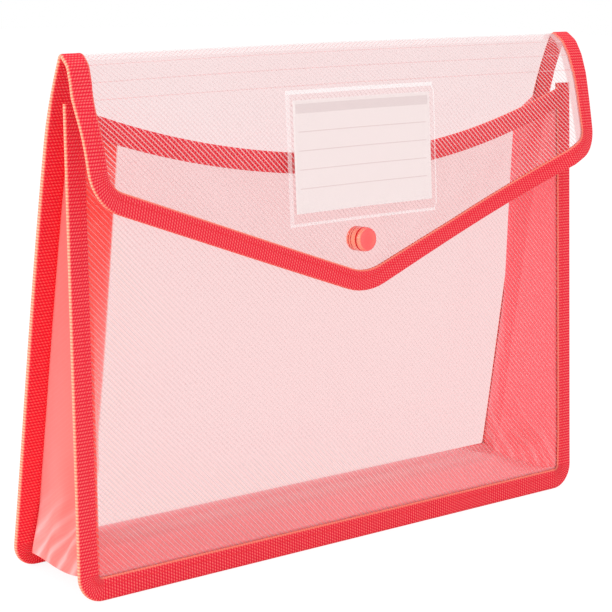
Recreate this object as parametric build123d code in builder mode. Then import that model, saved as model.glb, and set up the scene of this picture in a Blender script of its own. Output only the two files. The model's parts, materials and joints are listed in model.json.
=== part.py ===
from build123d import *

import math
import os

os.makedirs("parts", exist_ok=True)

# An expanding document case with a fold-over flap. Millimetres, +Z up, +X along the case.
# The origin is at the middle of the back wall's bottom edge, on the surface that the case stands on.
# The back wall leans forward, the front wall leans back, and the flap comes down over the front.

# Sheets, tapes and seams.
case_width = 330.0
sheet_thickness = 0.6
gusset_thickness = 0.5
tape_thickness = 0.8
tape_width = 12.0
trim_allowance = 0.5
fit_clearance = 0.3
seat_gap = 0.1

# The two walls. The front wall is lower than the back wall by the setback, and leans back until it is
# the standoff behind the top of the flap.
base_depth = 60.0
back_lean_angle = 8.7
back_length = 257.5
front_setback = 27.9
flap_standoff = 11.44
bottom_corner_radius = 13.0
mouth_dip = 31.0
front_bow = 8.0
bow_full_height = 110.0

# The gusset, one strip folded along its middle. The slack is how much wider it is than the gap that
# it spans at the bottom, between its two seams.
gusset_slack = 1.14
gusset_steps = 6

# The scored spine: three narrow strips over the top, then the flap. Turns are counted from upright
# towards the front.
strip_length = 8.5
strip_turn_angles = (122.0, 147.0, 158.0)
flap_flare_angle = 1.35
flap_side_length = 46.5
flap_corner_radius = 13.0
flap_tip_radius = 35.0
reverse_bend_angle = 50.0

# The press stud that holds the flap down.
snap_below_pocket = 3.3
tip_below_snap = 28.0
cap_radius = 6.5
cap_height = 5.2
cap_rim_radius = 7.2
cap_rim_height = 1.4
cap_edge_radius = 1.5
rim_edge_radius = 0.45
pin_radius = 2.2
hole_radius = 2.3
pin_grip = 0.6
socket_radius = 6.2
socket_bore_radius = 3.5
socket_floor = 0.8
stud_flange_radius = 6.2
stud_flange_height = 1.0
stud_neck_radius = 2.5
stud_head_radius = 3.0
stud_head_height = 1.0
rivet_radius = 6.2
rivet_height = 1.4

# The label pocket and its card.
pocket_drop = 2.0
film_thickness = 0.25
pocket_top_weld = 2.0
pocket_side_weld = 2.5
pocket_bottom_weld = 1.5
card_width = 90.0
card_height = 55.0
card_thickness = 0.3
card_left_margin = 3.6
card_right_margin = 2.8
card_top_margin = 4.8
card_bottom_margin = 6.2

front_length = back_length - front_setback
pocket_width = card_left_margin + card_width + card_right_margin
pocket_height = card_top_margin + card_height + card_bottom_margin
snap_drop = pocket_drop + pocket_height + snap_below_pocket + cap_rim_radius
flap_tip_length = snap_drop + tip_below_snap
half_width = case_width / 2
half_sheet = sheet_thickness / 2
half_tape = half_sheet + tape_thickness
seam_half_width = half_width - tape_width
hem_face = half_sheet + gusset_thickness
hem_width = tape_width + 2 * gusset_thickness
seam_tape_face = hem_face + tape_thickness


def sheet_plane(y, z, turn):
    """A plane on a sheet: local x along the case, local y up the sheet, turned from upright."""
    angle = math.radians(turn)
    up_the_sheet = Vector(0, -math.sin(angle), math.cos(angle))
    return Plane(origin=(0, y, z), x_dir=(1, 0, 0), z_dir=Vector(1, 0, 0).cross(up_the_sheet))


def hinge_gap(half_thickness, bend):
    """How far a layer stops short of a score so that it clears the next layer at this bend."""
    return half_thickness * math.tan(math.radians(bend) / 2) + seat_gap


back_plane = sheet_plane(0, 0, back_lean_angle)

# The four score lines, from the top of the back wall down to the top of the flap.
scores = [back_plane.from_local_coords(Vector(0, back_length, 0))]
for turn in strip_turn_angles:
    strip_plane = sheet_plane(scores[-1].Y, scores[-1].Z, turn)
    scores.append(strip_plane.from_local_coords(Vector(0, strip_length, 0)))

# The front wall's slope takes it behind the last score. The flap hangs a little steeper than that.
front_slope = (base_depth + scores[-1].Y + flap_standoff) / scores[-1].Z
front_lean_angle = math.degrees(math.atan(front_slope))
flap_turn_angle = 180 - front_lean_angle - flap_flare_angle
front_plane = sheet_plane(-base_depth, 0, -front_lean_angle)
flap_plane = sheet_plane(scores[-1].Y, scores[-1].Z, flap_turn_angle)

# How far each score has to bend. None has less than the bend it takes when the flap is thrown back.
turns = (back_lean_angle, *strip_turn_angles, flap_turn_angle)
bends = [max(after - before, reverse_bend_angle) for before, after in zip(turns, turns[1:])]


def wall_outline(inset, top):
    """A wall's outline brought in at its sides and bottom, with rounded bottom corners."""
    with BuildSketch() as outline:
        with BuildLine():
            Polyline(
                (-half_width + inset, top),
                (-half_width + inset, inset),
                (half_width - inset, inset),
                (half_width - inset, top),
                close=True,
            )
        make_face()
        if bottom_corner_radius > inset:
            fillet(outline.vertices().group_by(Axis.Y)[0], radius=bottom_corner_radius - inset)
    return outline.sketch


def mouth_circle(inset):
    """The disc that cuts the scooped mouth, grown by inset. Its edge meets the seams at the top."""
    radius = (seam_half_width**2 + mouth_dip**2) / (2 * mouth_dip)
    with BuildSketch() as disc:
        with Locations((0, front_length - mouth_dip + radius)):
            Circle(radius + inset)
    return disc.sketch


def flap_outline(inset, top):
    """The flap's outline, straight at its top score and pointed below, brought in by inset."""
    slope = (flap_tip_length - flap_side_length) / half_width
    diagonal_inset = inset * math.sqrt(1 + slope**2)
    edge = half_width - inset
    with BuildSketch() as outline:
        with BuildLine():
            Polyline(
                (-edge, top),
                (-edge, flap_side_length + inset * slope - diagonal_inset),
                (0, flap_tip_length - diagonal_inset),
                (edge, flap_side_length + inset * slope - diagonal_inset),
                (edge, top),
                close=True,
            )
        make_face()
        tip = outline.vertices().sort_by(Axis.Y)[-1]
        fillet(tip, radius=flap_tip_radius - inset)
        columns = outline.vertices().group_by(Axis.X)
        shoulders = [column.sort_by(Axis.Y)[-1] for column in (columns[0], columns[-1])]
        fillet(shoulders, radius=flap_corner_radius - inset)
    return outline.sketch


def bowed_slab(half_thickness):
    """The front wall's surface with a thickness: flat at its seams, bowed out towards the mouth."""
    stations = [seam_half_width * k / 4 for k in range(-4, 5)]
    levels = (
        (0, 0),
        (tape_width, 0),
        (bow_full_height, front_bow),
        (front_length, front_bow),
    )
    with BuildPart() as slab:
        for height, bow in levels:
            # This sketch plane cuts the wall across: local x along the case, local y outwards.
            origin = front_plane.from_local_coords(Vector(0, height, 0))
            with BuildSketch(Plane(origin=origin, x_dir=(1, 0, 0), z_dir=-front_plane.y_dir)):
                crests = [bow * math.cos(math.pi * x / (2 * seam_half_width)) ** 2 for x in stations]
                outer = [(x, crest + half_thickness) for x, crest in zip(stations, crests)]
                inner = [(x, crest - half_thickness) for x, crest in zip(stations, crests)]
                with BuildLine():
                    Line((-half_width, half_thickness), outer[0])
                    Spline(*outer, tangents=((1, 0), (1, 0)))
                    Line(outer[-1], (half_width, half_thickness))
                    Line((half_width, half_thickness), (half_width, -half_thickness))
                    Line((half_width, -half_thickness), inner[-1])
                    Spline(*reversed(inner), tangents=((-1, 0), (-1, 0)))
                    Line(inner[0], (-half_width, -half_thickness))
                    Line((-half_width, -half_thickness), (-half_width, half_thickness))
                make_face()
        loft(ruled=True)
    return slab.part


def mouth_band(half_thickness, margin):
    """The strip along the scooped mouth that the binding covers, grown by a margin all round."""
    with BuildPart() as band:
        add(bowed_slab(half_thickness + margin))
        with BuildSketch(front_plane):
            add(wall_outline(tape_width + seat_gap - margin, front_length + margin))
            add(mouth_circle(-margin), mode=Mode.SUBTRACT)
            add(mouth_circle(tape_width + margin), mode=Mode.INTERSECT)
        extrude(amount=front_bow + base_depth, both=True, mode=Mode.INTERSECT)
    return band.part


# The back wall: one clear sheet, held in the binding at both sides and the bottom.
back_sheet_top = back_length - hinge_gap(half_sheet, bends[0])
with BuildPart() as back_panel:
    with BuildSketch(back_plane.offset(-half_sheet)):
        add(wall_outline(tape_thickness, back_sheet_top))
    extrude(amount=sheet_thickness)
back_panel.part.label = "back_panel"
export_step(back_panel.part, "parts/back_panel.step")

# Its binding: a woven tape folded over the sheet's edge and the gusset's hem. Its underside is flat.
back_tape_top = back_length - hinge_gap(seam_tape_face, bends[0])
with BuildPart() as back_tape:
    with BuildSketch(back_plane.offset(-half_tape)):
        add(wall_outline(0, back_tape_top))
        with Locations((0, -trim_allowance / 2)):
            Rectangle(case_width - 2 * bottom_corner_radius, trim_allowance)
        add(wall_outline(tape_width, back_tape_top), mode=Mode.SUBTRACT)
    extrude(amount=half_tape + seam_tape_face)
    with BuildSketch(back_plane.offset(-half_sheet)):
        add(wall_outline(tape_thickness, back_tape_top))
    extrude(amount=half_sheet + hem_face, mode=Mode.SUBTRACT)
    split(bisect_by=Plane.XY, keep=Keep.TOP)
back_tape.part.label = "back_tape"
export_step(back_tape.part, "parts/back_tape.step")

# The front wall, bowed out a little by the papers and the press stud, with a scooped mouth.
snap_on_flap = flap_plane.from_local_coords(Vector(0, snap_drop, 0))
snap_height = front_plane.to_local_coords(snap_on_flap).Y
with BuildPart() as front_panel:
    add(bowed_slab(half_sheet))
    with BuildSketch(front_plane):
        add(wall_outline(tape_thickness, front_length))
        add(mouth_circle(tape_thickness), mode=Mode.SUBTRACT)
        with Locations((0, snap_height)):
            Circle(hole_radius, mode=Mode.SUBTRACT)
    extrude(amount=front_bow + base_depth, both=True, mode=Mode.INTERSECT)
front_panel.part.label = "front_panel"
export_step(front_panel.part, "parts/front_panel.step")

# Its binding, a U of tape with cut ends at the mouth.
with BuildPart() as front_tape:
    with BuildSketch(front_plane.offset(-seam_tape_face)):
        add(wall_outline(0, front_length))
        with Locations((0, -trim_allowance / 2)):
            Rectangle(case_width - 2 * bottom_corner_radius, trim_allowance)
        add(wall_outline(tape_width, front_length), mode=Mode.SUBTRACT)
    extrude(amount=seam_tape_face + half_tape)
    with BuildSketch(front_plane.offset(-hem_face)):
        add(wall_outline(tape_thickness, front_length))
    extrude(amount=hem_face + half_sheet, mode=Mode.SUBTRACT)
    split(bisect_by=Plane.XY, keep=Keep.TOP)
front_tape.part.label = "front_tape"
export_step(front_tape.part, "parts/front_tape.step")

# The mouth binding: tape folded over the scooped edge, from one side binding to the other.
with BuildPart() as mouth_tape:
    add(mouth_band(half_tape, 0))
    add(front_panel.part, mode=Mode.SUBTRACT)
mouth_tape.part.label = "mouth_tape"
export_step(mouth_tape.part, "parts/mouth_tape.step")


# The gusset runs down one side, along the bottom and up the other side. Its hems lie in the two
# bindings. Each side is creased along its middle and folds inwards, deeper towards the top, where the
# two walls come together.
def back_seam_y(z):
    """Where the gusset leaves the back wall's hem, at a height."""
    lean = math.radians(back_lean_angle)
    return -z * math.tan(lean) - (half_sheet + hem_face) / 2 / math.cos(lean)


def front_seam_y(z):
    """Where the gusset leaves the front wall's hem, at a height."""
    lean = math.radians(front_lean_angle)
    return -base_depth + z * math.tan(lean) + (half_sheet + hem_face) / 2 / math.cos(lean)


gusset_width = back_seam_y(tape_width) - front_seam_y(tape_width) + gusset_slack


def crease_y(z):
    """The middle crease is half way between the seams."""
    return (back_seam_y(z) + front_seam_y(z)) / 2


def crease_depth(z):
    """How far the middle crease stands in from the seams, from the strip's fixed width."""
    half_gap = (back_seam_y(z) - front_seam_y(z)) / 2
    return math.sqrt((gusset_width / 2) ** 2 - half_gap**2)


def gusset_side(side, seam_y, floor_gap):
    """Half of one side of the gusset, from its seam to just short of the middle crease."""
    rise = front_height - tape_width
    levels = [tape_width + rise * (step / gusset_steps) ** 2 for step in range(1, gusset_steps + 1)]
    with BuildPart() as wall:
        for z in (tape_width - 2 * gusset_thickness, *levels):
            seam = Vector(side * (seam_half_width - gusset_thickness), seam_y(z))
            crease = Vector(side * (seam_half_width - crease_depth(max(z, tape_width))), crease_y(z))
            half_gap = abs(crease.Y - seam.Y)
            along = (crease - seam).normalized()
            across = Vector(-along.Y, along.X) * (gusset_thickness / 2)
            # The halves part where the crease would bring their faces together.
            parting = (gusset_thickness + fit_clearance) / 2 * (gusset_width / 2) / half_gap
            crease = crease - along * parting
            with BuildSketch(Plane.XY.offset(z)):
                with BuildLine():
                    Polyline(seam + across, crease + across, crease - across, seam - across, close=True)
                make_face()
        loft(ruled=True)
        split(bisect_by=corner_mitre(side, floor_gap), keep=Keep.TOP)
    return wall.part


def corner_mitre(side, floor_gap):
    """The plane through a bottom corner that parts the gusset's side, above, from its floor."""
    corner = Vector(side * seam_half_width, 0, tape_width + floor_gap)
    return Plane(origin=corner, z_dir=(side, 0, 1))


front_height = front_plane.from_local_coords(Vector(0, front_length, 0)).Z
floor_height = tape_width + gusset_thickness
floor_front_y = front_seam_y(tape_width) + seam_tape_face

# The bottom of the gusset, creased upwards along its middle and mitred at both ends.
with BuildPart() as gusset_floor:
    with BuildSketch(Plane.YZ):
        crease = Vector(crease_y(tape_width), floor_height + crease_depth(tape_width))
        thickness = Vector(0, gusset_thickness)
        with BuildLine():
            Polyline(
                Vector(back_seam_y(tape_width), floor_height) - thickness,
                Vector(back_seam_y(tape_width), floor_height),
                crease,
                Vector(floor_front_y, floor_height) + thickness,
                Vector(floor_front_y, floor_height),
                crease - thickness,
                close=True,
            )
        make_face()
    extrude(amount=seam_half_width, both=True)
    for side in (-1, 1):
        split(bisect_by=corner_mitre(side, 0), keep=Keep.BOTTOM)

with BuildPart() as gusset_back_half:
    with BuildSketch(back_plane.offset(half_sheet)):
        add(wall_outline(tape_thickness, front_length))
        add(wall_outline(hem_width, front_length), mode=Mode.SUBTRACT)
    extrude(amount=gusset_thickness)
    for side in (-1, 1):
        add(gusset_side(side, back_seam_y, 0))
    add(gusset_floor.part)
gusset_back_half.part.label = "gusset_back_half"
export_step(gusset_back_half.part, "parts/gusset_back_half.step")

# The front half stops short of the mouth binding.
with BuildPart() as gusset_front_half:
    with BuildSketch(front_plane.offset(-hem_face)):
        add(wall_outline(tape_thickness, front_length))
        add(wall_outline(hem_width, front_length), mode=Mode.SUBTRACT)
    extrude(amount=gusset_thickness)
    for side in (-1, 1):
        add(gusset_side(side, front_seam_y, 2 * fit_clearance))
    add(mouth_band(half_tape, fit_clearance), mode=Mode.SUBTRACT)
gusset_front_half.part.label = "gusset_front_half"
export_step(gusset_front_half.part, "parts/gusset_front_half.step")

# The spine: three strips of the back sheet between scores, each with its two bits of edge tape.
for number, turn in enumerate(strip_turn_angles, start=1):
    start_score = scores[number - 1]
    strip_plane = sheet_plane(start_score.Y, start_score.Z, turn)
    sheet_start = hinge_gap(half_sheet, bends[number - 1])
    sheet_end = strip_length - hinge_gap(half_sheet, bends[number])
    with BuildPart() as spine_sheet:
        with BuildSketch(strip_plane.offset(-half_sheet)):
            with Locations((0, (sheet_start + sheet_end) / 2)):
                Rectangle(case_width - 2 * tape_thickness, sheet_end - sheet_start)
        extrude(amount=sheet_thickness)
    spine_sheet.part.label = f"spine_sheet_{number}"
    export_step(spine_sheet.part, f"parts/spine_sheet_{number}.step")

    tape_start = hinge_gap(half_tape, bends[number - 1])
    tape_end = strip_length - hinge_gap(half_tape, bends[number])
    with BuildPart() as spine_tape:
        with BuildSketch(strip_plane.offset(-half_tape)):
            with Locations((0, (tape_start + tape_end) / 2)):
                Rectangle(case_width, tape_end - tape_start)
                Rectangle(2 * seam_half_width, tape_end - tape_start, mode=Mode.SUBTRACT)
        extrude(amount=2 * half_tape)
        with BuildSketch(strip_plane.offset(-half_sheet)):
            with Locations((0, strip_length / 2)):
                Rectangle(case_width - 2 * tape_thickness, strip_length)
        extrude(amount=sheet_thickness, mode=Mode.SUBTRACT)
    spine_tape.part.label = f"spine_tape_{number}"
    export_step(spine_tape.part, f"parts/spine_tape_{number}.step")

# The flap: the rest of the back sheet, with its pointed edge bound in the same tape.
with BuildPart() as flap_panel:
    with BuildSketch(flap_plane.offset(-half_sheet)):
        add(flap_outline(tape_thickness, hinge_gap(half_sheet, bends[-1])))
        with Locations((0, snap_drop)):
            Circle(hole_radius, mode=Mode.SUBTRACT)
    extrude(amount=sheet_thickness)
flap_panel.part.label = "flap_panel"
export_step(flap_panel.part, "parts/flap_panel.step")

flap_tape_top = hinge_gap(half_tape, bends[-1])
with BuildPart() as flap_tape:
    with BuildSketch(flap_plane.offset(-half_tape)):
        add(flap_outline(0, flap_tape_top))
        add(flap_outline(tape_width, flap_tape_top), mode=Mode.SUBTRACT)
    extrude(amount=2 * half_tape)
    with BuildSketch(flap_plane.offset(-half_sheet)):
        add(flap_outline(tape_thickness, flap_tape_top))
    extrude(amount=sheet_thickness, mode=Mode.SUBTRACT)
flap_tape.part.label = "flap_tape"
export_step(flap_tape.part, "parts/flap_tape.step")

# The press stud. Cap and socket are pinned together through the flap, stud and rivet through the
# front wall, and the stud's head stands in the socket when the flap is closed.
snap_plane = Plane(origin=snap_on_flap, x_dir=(1, 0, 0), z_dir=-flap_plane.z_dir)
wall_snap_plane = Plane(
    origin=front_plane.from_local_coords(Vector(0, snap_height, front_bow)),
    x_dir=(1, 0, 0),
    z_dir=front_plane.z_dir,
)
snap_gap = snap_plane.origin.sub(wall_snap_plane.origin).dot(front_plane.z_dir) - sheet_thickness
socket_height = snap_gap - stud_flange_height - 2 * fit_clearance

with BuildPart() as snap_cap:
    with BuildSketch(snap_plane.offset(half_sheet)):
        Circle(cap_rim_radius)
    extrude(amount=cap_rim_height)
    fillet(snap_cap.edges().filter_by(GeomType.CIRCLE), radius=rim_edge_radius)
    with BuildSketch(snap_plane.offset(half_sheet)):
        Circle(cap_radius)
    extrude(amount=cap_height)
    cap_axis = Axis(snap_plane.origin, snap_plane.z_dir)
    cap_face = snap_cap.faces().filter_by(GeomType.PLANE).sort_by(cap_axis)[-1]
    fillet(cap_face.edges(), radius=cap_edge_radius)
    with BuildSketch(snap_plane.offset(half_sheet)):
        Circle(pin_radius)
    extrude(amount=-(sheet_thickness + pin_grip))
snap_cap.part.label = "snap_cap"
export_step(snap_cap.part, "parts/snap_cap.step")

with BuildPart() as snap_socket:
    with BuildSketch(snap_plane.offset(-half_sheet)):
        Circle(socket_radius)
        Circle(hole_radius, mode=Mode.SUBTRACT)
    extrude(amount=-socket_height)
    with BuildSketch(snap_plane.offset(-half_sheet - socket_floor)):
        Circle(socket_bore_radius)
    extrude(amount=-socket_height, mode=Mode.SUBTRACT)
snap_socket.part.label = "snap_socket"
export_step(snap_socket.part, "parts/snap_socket.step")

stud_height = snap_gap - socket_floor - fit_clearance
with BuildPart() as snap_stud:
    with BuildSketch(wall_snap_plane.offset(half_sheet)):
        Circle(stud_flange_radius)
    extrude(amount=stud_flange_height)
    with BuildSketch(wall_snap_plane.offset(half_sheet)):
        Circle(stud_neck_radius)
    extrude(amount=stud_height)
    with BuildSketch(wall_snap_plane.offset(half_sheet + stud_height - stud_head_height)):
        Circle(stud_head_radius)
    extrude(amount=stud_head_height)
    with BuildSketch(wall_snap_plane.offset(half_sheet)):
        Circle(hole_radius)
    extrude(amount=pin_grip + fit_clearance, mode=Mode.SUBTRACT)
snap_stud.part.label = "snap_stud"
export_step(snap_stud.part, "parts/snap_stud.step")

# The rivet's head stands a hair off the wall, which curves away from it.
rivet_face = half_sheet + seat_gap
with BuildPart() as snap_rivet:
    with BuildSketch(wall_snap_plane.offset(-rivet_face)):
        Circle(rivet_radius)
    extrude(amount=-rivet_height)
    fillet(snap_rivet.edges().filter_by(GeomType.CIRCLE), radius=rim_edge_radius)
    with BuildSketch(wall_snap_plane.offset(-rivet_face)):
        Circle(pin_radius)
    extrude(amount=rivet_face + half_sheet + pin_grip)
snap_rivet.part.label = "snap_rivet"
export_step(snap_rivet.part, "parts/snap_rivet.step")

# The label pocket: a clear film welded to the flap along its top, left and bottom, open at the right.
# It stands off the flap by enough for the card to slide out over the binding.
card_standoff = tape_thickness + seat_gap
pocket_space = card_standoff + card_thickness + fit_clearance
pocket_rise = pocket_space + film_thickness
pocket_middle = pocket_drop + pocket_height / 2
with BuildPart() as label_pocket:
    with BuildSketch(flap_plane.offset(-half_sheet)):
        with Locations((0, pocket_middle)):
            Rectangle(pocket_width, pocket_height)
    extrude(amount=-pocket_rise)
    with BuildSketch(flap_plane.offset(-half_sheet)):
        slot_top = pocket_drop + pocket_top_weld
        slot_bottom = pocket_drop + pocket_height - pocket_bottom_weld
        with Locations((pocket_side_weld, (slot_top + slot_bottom) / 2)):
            Rectangle(pocket_width, slot_bottom - slot_top)
    extrude(amount=-pocket_space, mode=Mode.SUBTRACT)
label_pocket.part.label = "label_pocket"
export_step(label_pocket.part, "parts/label_pocket.step")

# The ruled card lies in the pocket and slides out at the right.
card_middle_x = card_left_margin + card_width / 2 - pocket_width / 2
card_middle = pocket_drop + card_top_margin + card_height / 2
with BuildPart() as label_card:
    with BuildSketch(flap_plane.offset(-half_sheet - card_standoff)):
        with Locations((card_middle_x, card_middle)):
            Rectangle(card_width, card_height)
    extrude(amount=-card_thickness)
label_card.part.label = "label_card"
export_step(label_card.part, "parts/label_card.step")
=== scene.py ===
import json
import math

import bmesh
import bpy
from mathutils import Matrix, Vector


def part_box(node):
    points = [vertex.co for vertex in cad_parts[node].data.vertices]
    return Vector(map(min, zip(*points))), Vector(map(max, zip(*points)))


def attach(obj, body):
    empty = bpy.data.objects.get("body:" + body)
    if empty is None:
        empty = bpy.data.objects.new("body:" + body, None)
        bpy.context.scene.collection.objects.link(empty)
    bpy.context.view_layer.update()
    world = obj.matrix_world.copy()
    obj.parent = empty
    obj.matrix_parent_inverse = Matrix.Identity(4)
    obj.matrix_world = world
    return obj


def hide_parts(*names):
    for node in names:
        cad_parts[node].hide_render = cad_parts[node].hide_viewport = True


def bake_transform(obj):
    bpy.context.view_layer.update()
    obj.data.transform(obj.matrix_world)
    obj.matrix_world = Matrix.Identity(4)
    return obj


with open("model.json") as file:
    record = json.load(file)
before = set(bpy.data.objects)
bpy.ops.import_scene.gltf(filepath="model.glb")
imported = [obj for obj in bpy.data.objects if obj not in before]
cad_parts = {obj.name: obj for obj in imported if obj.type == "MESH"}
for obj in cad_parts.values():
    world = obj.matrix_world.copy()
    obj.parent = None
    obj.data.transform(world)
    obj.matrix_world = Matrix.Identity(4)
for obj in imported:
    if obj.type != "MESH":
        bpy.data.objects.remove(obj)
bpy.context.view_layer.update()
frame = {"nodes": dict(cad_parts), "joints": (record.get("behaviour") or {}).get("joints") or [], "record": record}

# The back sheet. One piece of ribbed polypropylene, 0.6 mm thick, makes the back wall, the spine and
# the flap. The ribs are rolled in across it at 45 degrees, and the four scores of the spine are
# pressed in hot, so that it folds there.
case_half_width = 0.165
sheet_thickness = 0.0006
tape_width = 0.012
hidden_edge = 0.005
strip_length = 0.0085
flap_turn = math.radians(174.4)
flap_side_length = 0.0465
flap_right_side_length = 0.0438
flap_tip_length = 0.1065
flap_left_radius = 0.021
flap_right_radius = 0.017
flap_tip_radius = 0.035
left_corner_curl = 0.0095
right_corner_swell = 0.009
right_corner_turn = 0.003
right_corner_at = 0.145
right_corner_width = 0.02
left_sag = -0.0036
right_sag = 0.0022
wall_bow = 0.0058
wall_bow_peak = 0.83
left_slouch = 0.004
slouch_at = -0.002
slouch_reach = 0.014
rib_pitch = 0.002
flat_round_stud = 0.0145
strained_from = 0.1478
strained_fade = 0.0014
crease_half_width = 0.00028
score_softness = (0.0022, 0.0018, 0.0014, 0.0016)
fold_reach = 0.004

joint_at = {joint["name"]: Vector(joint.get("pos_m") or (0, 0, 0)) for joint in frame["joints"]}
scores = [joint_at[name] for name in ("spine_score_1", "spine_score_2", "spine_score_3", "flap_score")]
flap_way = Vector((0, -math.sin(flap_turn), math.cos(flap_turn)))
turning_points = [Vector((0, 0, 0)), *scores, scores[-1] + flap_way * flap_tip_length]
back_length = scores[0].length
score_distances = [back_length + strip_length * number for number in range(4)]
flap_start = score_distances[-1]
socket_box = [Vector(corner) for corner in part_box("snap_socket")]
stud_spot = flap_start + ((socket_box[0] + socket_box[1]) / 2 - scores[-1]).dot(flap_way)


def sheet_line(distance):
    """The sheet's middle line and its outward side, this far up the back, over the spine and down."""
    leg = sum(distance > score for score in score_distances)
    for score, at, soft, before, after in zip(
        scores, score_distances, score_softness, turning_points, turning_points[2:]
    ):
        share = (distance - at + soft) / (2 * soft)
        if 0 < share < 1:
            enter = score + (before - score).normalized() * soft
            leave = score + (after - score).normalized() * soft
            middle = enter * (1 - share) ** 2 + score * 2 * share * (1 - share) + leave * share**2
            way = ((score - enter) * (1 - share) + (leave - score) * share).normalized()
            return middle, Vector((0, way.z, -way.y))
    start = turning_points[leg]
    way = (turning_points[leg + 1] - start).normalized()
    passed = distance - (score_distances[leg - 1] if leg else 0)
    return start + way * passed, Vector((0, way.z, -way.y))


def bow_out(share):
    """How far the back wall bows out backwards at a share of its height: most a little below the top."""
    if share < wall_bow_peak:
        return wall_bow * math.sin(math.pi / 2 * share / wall_bow_peak) ** 1.4
    return wall_bow * math.cos(math.pi / 2 * min((share - wall_bow_peak) / (1 - wall_bow_peak), 1))


def back_place(x, distance, height=0.0):
    """A place on the back sheet, at a height off its outer side. The flap's corners stand off the front.

    The snapped case stands a little askew: at the left its spine is lower and pushed in.
    """
    height += bow_out(distance / back_length) if 0 < distance < back_length else 0
    middle, outward = sheet_line(distance)
    sag = (left_sag if x < 0 else right_sag) * abs(x) / case_half_width
    middle = middle + Vector((0, 0, sag * min(distance / back_length, 1)))
    down = max(distance - flap_start, 0) / flap_side_length
    if x > 0:
        turn_back = max((x - right_corner_at) / right_corner_width, 0) ** 1.5
        swell = right_corner_swell * min(x / right_corner_at, 1) ** 4
        lift = (swell - right_corner_turn * turn_back) * down**0.8
    else:
        lift = left_corner_curl * (abs(x) / case_half_width) ** 2.2 * down
        past_spine = (distance - flap_start - slouch_at) / slouch_reach
        lift -= left_slouch * (abs(x) / case_half_width) ** 3 * math.exp(-(past_spine**2))
    return middle + Vector((x, 0, 0)) + outward * (height + lift)


def flap_edge(x, inset):
    """How far down the flap its bound edge is at x, brought in by inset."""
    slope = (flap_tip_length - (flap_side_length if x < 0 else flap_right_side_length)) / case_half_width
    lean = math.atan(slope)
    line_start = flap_tip_length - inset / math.cos(lean)
    tip, corner = flap_tip_radius - inset, (flap_left_radius if x < 0 else flap_right_radius) - inset
    corner_x = case_half_width - inset - corner
    x = abs(x)
    if x < tip * math.sin(lean):
        return line_start - tip / math.cos(lean) + math.sqrt(tip**2 - x**2)
    if x > corner_x + corner * math.sin(lean):
        middle = line_start - slope * corner_x - corner / math.cos(lean)
        return middle + math.sqrt(max(corner**2 - (x - corner_x) ** 2, 0))
    return line_start - slope * x


class Value:
    """A socket in a finish. Sums on it add Math nodes, so a pattern is written as plain arithmetic."""

    def __init__(self, tree, socket):
        self.tree = tree
        self.socket = socket

    @staticmethod
    def node(tree, kind, settings=None, inputs=None, output=0):
        """Any node: its settings are made first, then its sockets get their values or links."""
        made = tree.nodes.new(kind)
        for name, setting in (settings or {}).items():
            setattr(made, name, setting)
        for name, value in (inputs or {}).items():
            if isinstance(value, Value):
                tree.links.new(value.socket, made.inputs[name])
            else:
                made.inputs[name].default_value = value
        return Value(tree, made.outputs[output]) if made.outputs else None

    def math(self, operation, *others):
        return Value.node(
            self.tree, "ShaderNodeMath", {"operation": operation}, dict(enumerate((self, *others)))
        )

    def __add__(self, other):
        return self.math("ADD", other)

    def __sub__(self, other):
        return self.math("SUBTRACT", other)

    def __rsub__(self, other):
        return self.math("MULTIPLY_ADD", -1.0, other)

    def __mul__(self, other):
        return self.math("MULTIPLY", other)

    def __truediv__(self, other):
        return self.math("DIVIDE", other)

    def __pow__(self, other):
        return self.math("POWER", other)

    __radd__ = __add__
    __rmul__ = __mul__

    def wave(self, pitch):
        """From 0 to 1 and back once in every pitch."""
        return (self * (2 * math.pi / pitch)).math("COSINE") * 0.5 + 0.5

    def between(self, colour, other):
        """The colour where this is 0, the other where this is 1."""
        return Value.node(
            self.tree, "ShaderNodeMix", {"data_type": "RGBA"}, {0: self, 6: colour, 7: other}, output=2
        )


def new_finish(name):
    """An empty finish, with the place across and along a piece in metres."""
    finish = bpy.data.materials.new(name)
    finish.use_nodes = True
    finish.node_tree.nodes.clear()
    tree = finish.node_tree
    place = Value.node(tree, "ShaderNodeUVMap", {"uv_map": "place"})
    across = Value.node(tree, "ShaderNodeSeparateXYZ", inputs={0: place}, output=0)
    along = Value(tree, across.socket.node.outputs[1])
    return finish, tree, across, along


def set_surface(tree, surface):
    Value.node(tree, "ShaderNodeOutputMaterial", inputs={"Surface": surface})


def speckle(tree, scale, detail):
    """Soft unevenness, laid out on the piece so that it moves with it."""
    place = Value.node(tree, "ShaderNodeUVMap", {"uv_map": "place"})
    return Value.node(
        tree, "ShaderNodeTexNoise", inputs={"Vector": place, "Scale": scale, "Detail": detail}
    )


def raised(tree, height, distance, strength=1.0):
    """The relief of a pattern: how far its 1 stands over its 0, in metres."""
    return Value.node(
        tree, "ShaderNodeBump", inputs={"Strength": strength, "Distance": distance, "Height": height}
    )


def layered(tree, share, under, over):
    """Two surfaces in one: only the one under at a share of 0, only the one over at 1."""
    return Value.node(tree, "ShaderNodeMixShader", inputs={0: share, 1: under, 2: over})


def low_angle_gloss(tree):
    """How much of the sheet is gloss: hardly any seen square on, most at a low angle."""
    facing = Value.node(tree, "ShaderNodeLayerWeight", inputs={"Blend": 0.5}, output="Facing")
    return facing**5 * 0.8 + 0.01


def smooth_side_finish(name, tint):
    """The sheet's smooth side, which has no ribs: clear tinted film, glossy at a low angle."""
    finish, tree, *_ = new_finish(name)
    clear = Value.node(tree, "ShaderNodeBsdfTransparent", inputs={"Color": tint})
    roughness = speckle(tree, 18.0, 3.0) * 0.1 + 0.12
    shine = Value.node(
        tree, "ShaderNodeBsdfGlossy", inputs={"Color": (1, 1, 1, 1), "Roughness": roughness}
    )
    set_surface(tree, layered(tree, low_angle_gloss(tree), clear, shine))
    return finish


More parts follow.
